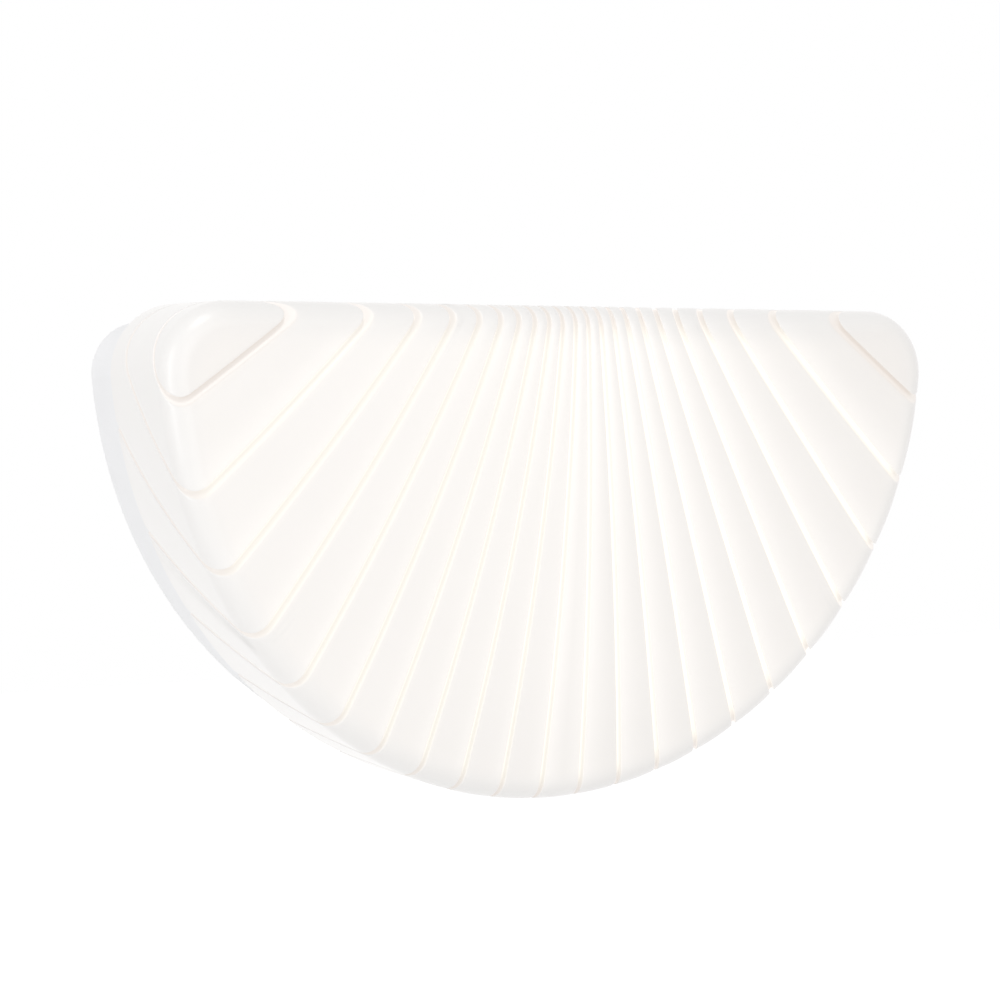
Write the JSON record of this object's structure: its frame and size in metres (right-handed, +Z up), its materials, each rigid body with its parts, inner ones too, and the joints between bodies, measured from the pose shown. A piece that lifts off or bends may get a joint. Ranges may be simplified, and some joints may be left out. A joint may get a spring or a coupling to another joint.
{
  "type": "shell wall sconce",
  "caption": "Half-moon wall light with a deep translucent shade ribbed like a shell, over a smaller white half-moon canopy.",
  "frame": {"origin": "midway between the crossbar's two wall slots, on the wall plane", "axes": "+Z up, +X to the right of someone facing the light, +Y into the wall; the light faces -Y"},
  "size_m": [0.299, 0.0845, 0.1705],
  "materials": {
    "opal": "satin translucent white, lit from inside",
    "white_paint": "satin white powder coat",
    "zinc_steel": "zinc plated",
    "bright_steel": "nickel plated",
    "green_steel": "green passivated steel",
    "brass": "tinned brass",
    "board_white": "white solder mask on aluminium",
    "phosphor": "warm white lamp packages",
    "grey_pad": "soft thermal pad",
    "white_nylon": "natural nylon",
    "driver_plastic": "fine moulded grain",
    "black_rubber": "matt",
    "red_pvc": "satin insulation",
    "black_pvc": "satin insulation",
    "brown_pvc": "satin insulation",
    "blue_pvc": "satin insulation",
    "green_pvc": "satin insulation"
  },
  "bodies": {
    "fixture": {"canopy": "white_paint", "crossbar": "zinc_steel", "crossbar_earth_screw": "green_steel", "studs": "zinc_steel", "stud_locknuts": "zinc_steel", "stud_washers": "zinc_steel", "cap_nuts": "bright_steel", "thermal_pad": "grey_pad", "led_board": "board_white", "led_packages": "phosphor", "board_screws": "bright_steel", "board_connector": "white_nylon", "lead_grommet": "black_rubber", "output_lead_red": "red_pvc", "output_lead_black": "black_pvc", "driver_case": "driver_plastic", "driver_lid": "driver_plastic", "driver_screws": "bright_steel", "terminal_block": "white_nylon", "terminal_clamp_screws": "brass", "terminal_fixing_screw": "bright_steel", "input_lead_brown": "brown_pvc", "input_lead_blue": "blue_pvc", "earth_lead": "green_pvc", "earth_lug": "brass", "earth_lug_screw": "green_steel", "lead_clip": "white_nylon"},
    "shade": {"shade": "opal", "shade_magnets": "bright_steel"}
  },
  "joints": [
    {"name": "shade_pull", "type": "slide", "parent": "fixture", "child": "shade", "axis": [0, -1, 0], "range_m": [0, 0.07]}
  ]
}
